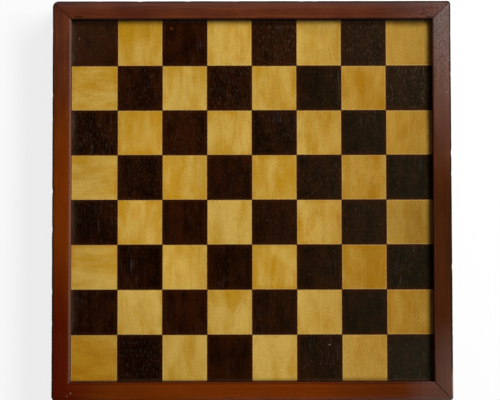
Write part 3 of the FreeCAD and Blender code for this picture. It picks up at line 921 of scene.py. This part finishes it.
class SetStage(bpy.types.Operator):
    """Plain pale floor, a soft lamp and the camera above the board"""

    bl_idname = "chess_board.set_stage"
    bl_label = "Set Stage"

    def execute(self, context):
        stage = context.scene.board_stage
        self.lay_floor(stage)
        light = self.hang_lamp(stage, "window_light", stage.lamp_level)
        light.visible_glossy = False
        gleam = self.hang_lamp(stage, "window_gleam", stage.gleam_level)
        gleam.visible_diffuse = False
        self.set_world(context.scene, stage)
        self.place_camera(context.scene, stage)
        context.scene.view_settings.view_transform = "Standard"
        return {"FINISHED"}

    def lay_floor(self, stage):
        bpy.ops.object.select_all(action="DESELECT")
        below = (0, 0, -stage.floor_drop)
        bpy.ops.mesh.primitive_plane_add(size=stage.floor_width, location=below)
        floor = bpy.context.object
        floor.name = "floor"
        material, g = new_material("pale_floor", Graph)
        diffuse = g.add("ShaderNodeBsdfDiffuse", None, {"Color": opaque(stage.floor_colour)})
        white = g.add("ShaderNodeEmission", None, {"Color": WHITE, "Strength": 1.0})
        mixed = g.add("ShaderNodeMixShader", None, (g.seen() * stage.floor_white, diffuse, white))
        g.add("ShaderNodeOutputMaterial", None, {"Surface": mixed})
        floor.data.materials.append(material)

    def hang_lamp(self, stage, name, brightness):
        """A wide, low lamp at the back right, like a window. A white flat top shows brightness:
        a lamp's light falls off with pi and the square of its distance, and white with pi again."""
        middle = Vector((0, 0, FIELD_TOP))
        turn, rise = stage.lamp_turn, stage.lamp_rise
        level = math.cos(rise)
        direction = Vector((level * math.cos(turn), level * math.sin(turn), math.sin(rise)))
        lamp = bpy.data.lights.new(name, "AREA")
        lamp.shape = "RECTANGLE"
        lamp.size = stage.lamp_width
        lamp.size_y = stage.lamp_height
        lamp.energy = brightness * math.pi**2 * stage.lamp_distance**2 / direction.z
        holder = bpy.data.objects.new(name, lamp)
        holder.location = middle + direction * stage.lamp_distance
        holder.rotation_euler = direction.to_track_quat("Z", "Y").to_euler()
        bpy.context.scene.collection.objects.link(holder)
        return holder

    def set_world(self, scene, stage):
        """Even light from all round, which the camera and gloss see as white low down only."""
        world = bpy.data.worlds.new("studio")
        world.use_nodes = True
        scene.world = world
        g = Graph(world.node_tree)
        _, _, up = g.split(g.add("ShaderNodeTexCoord", output="Generated"))
        backdrop = g.ramp(up, 0.3, 0.05)
        level = stage.fill_level + (backdrop - stage.fill_level) * g.seen()
        light = g.add("ShaderNodeBackground", None, {"Color": WHITE, "Strength": level})
        g.add("ShaderNodeOutputWorld", None, {"Surface": light})

    def place_camera(self, scene, stage):
        camera = bpy.data.cameras.new("camera")
        camera.sensor_width = SENSOR_WIDTH
        camera.lens = stage.focal_length
        camera.clip_start = NEAREST_SEEN
        holder = bpy.data.objects.new("camera", camera)
        holder.location = (-stage.camera_left, -stage.camera_forward, stage.camera_height)
        holder.rotation_euler = Euler((stage.camera_pitch, stage.camera_roll, stage.camera_turn))
        scene.collection.objects.link(holder)
        scene.camera = holder


STEPS = (WearRails, FinishLightSquares, FinishDarkSquares, FinishRails, FinishUnderside, SetStage)


class ChessBoardPanel(bpy.types.Panel):
    """The board's steps and settings in the 3D view's sidebar"""

    bl_idname = "VIEW3D_PT_chess_board"
    bl_label = "Chess Board"
    bl_space_type = "VIEW_3D"
    bl_region_type = "UI"
    bl_category = "Chess Board"

    def draw(self, context):
        for step in STEPS:
            self.layout.operator(step.bl_idname)
        for name, group in FINISHES.items():
            box = self.layout.box()
            box.label(text=name.removeprefix("board_").replace("_", " ").capitalize())
            for setting in group.__annotations__:
                box.prop(getattr(context.scene, name), setting)


def register():
    for group in FINISHES.values():
        bpy.utils.register_class(group)
    for name, group in FINISHES.items():
        setattr(bpy.types.Scene, name, PointerProperty(type=group))
    for step in STEPS:
        bpy.utils.register_class(step)
    bpy.utils.register_class(ChessBoardPanel)


def unregister():
    bpy.utils.unregister_class(ChessBoardPanel)
    for step in reversed(STEPS):
        bpy.utils.unregister_class(step)
    for name, group in FINISHES.items():
        delattr(bpy.types.Scene, name)
        bpy.utils.unregister_class(group)


def main():
    register()
    bpy.ops.chess_board.wear_rails()
    bpy.ops.chess_board.finish_light_squares()
    bpy.ops.chess_board.finish_dark_squares()
    bpy.ops.chess_board.finish_rails()
    bpy.ops.chess_board.finish_underside()
    bpy.ops.chess_board.set_stage()


if __name__ == "__main__":
    main()
